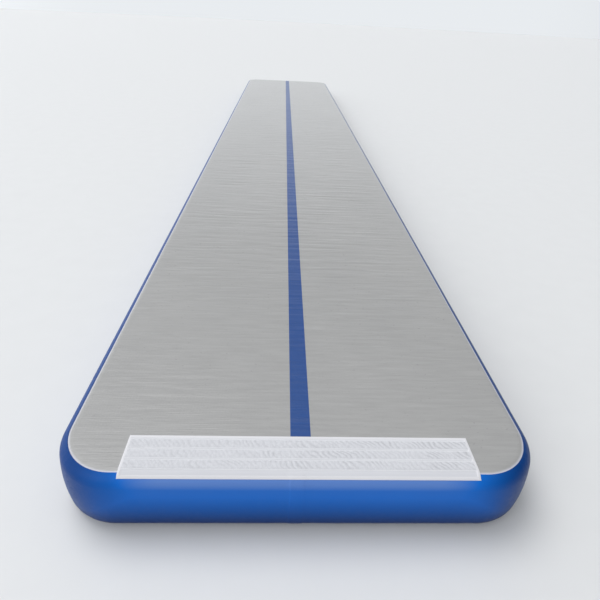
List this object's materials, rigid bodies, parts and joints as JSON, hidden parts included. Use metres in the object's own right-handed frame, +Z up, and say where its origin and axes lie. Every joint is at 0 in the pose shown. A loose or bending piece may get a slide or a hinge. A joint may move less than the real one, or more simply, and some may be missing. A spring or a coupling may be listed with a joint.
{
  "type": "air track mat",
  "caption": "Inflatable drop-stitch tumbling mat: flat grey deck, blue side band, centre line, hook-and-loop joining pad at one end, capped push-stem air valve at the other.",
  "frame": {"origin": "on the floor, under the middle of the inflated mat", "axes": "+Y along the mat, away from the end with the joining pad; +X to the right seen from that end; +Z up"},
  "size_m": [2, 12.016, 0.3036],
  "materials": {
    "deck_cloth": "satin",
    "band_cloth": "satin",
    "inner_cloth": "matte",
    "line_film": "satin",
    "pad_cloth": "matte",
    "hook_tape": "matte",
    "yarn": "matte",
    "valve_plastic": "satin",
    "cap_plastic": "satin",
    "valve_rubber": "matte",
    "spring_steel": "satin"
  },
  "bodies": {
    "mat": {"bottom_edge_tape": "inner_cloth", "bottom_skin": "deck_cloth", "centre_line": "line_film", "hook_tape_back": "hook_tape", "hook_tape_front": "hook_tape", "hook_tape_middle": "hook_tape", "inner_sidewall": "inner_cloth", "inner_sidewall_join_tape": "inner_cloth", "joining_pad_base": "pad_cloth", "left_sidewall": "band_cloth", "right_sidewall": "band_cloth", "spacer_yarns": "yarn", "top_edge_tape": "inner_cloth", "top_skin": "deck_cloth", "valve_body": "valve_plastic", "valve_clamp_nut": "valve_plastic", "valve_inner_gasket": "valve_rubber", "valve_outer_gasket": "valve_rubber", "valve_patch": "band_cloth", "valve_spring": "spring_steel"},
    "valve_plunger": {"valve_seal": "valve_rubber", "valve_seal_washer": "spring_steel"},
    "valve_stem": {"valve_stem": "valve_plastic", "valve_stem_retainer": "valve_plastic"},
    "cap_tether": {"valve_cap_tether": "cap_plastic"},
    "valve_cap": {"valve_cap": "cap_plastic", "valve_cap_seal": "valve_rubber"}
  },
  "joints": [
    {"name": "stem_push", "type": "slide", "parent": "mat", "child": "valve_plunger", "axis": [0, -1, 0], "range_m": [0, 0.006], "stiffness_N_per_m": 800, "springref_m": -0.008, "deforming": ["valve_spring"]},
    {"name": "stem_turn", "type": "hinge", "parent": "valve_plunger", "child": "valve_stem", "pos_m": [0.6, 5.9824, 0.15], "axis": [0, 1, 0], "range_deg": [0, 90]},
    {"name": "tether_swing", "type": "hinge", "parent": "mat", "child": "cap_tether", "pos_m": [0.6, 6.0087, 0.1195], "axis": [-1, 0, 0], "range_deg": [0, 165]},
    {"name": "cap_turn", "type": "hinge", "parent": "cap_tether", "child": "valve_cap", "pos_m": [0.6, 6.0087, 0.15], "axis": [0, 1, 0], "range_deg": [0, 90]}
  ]
}
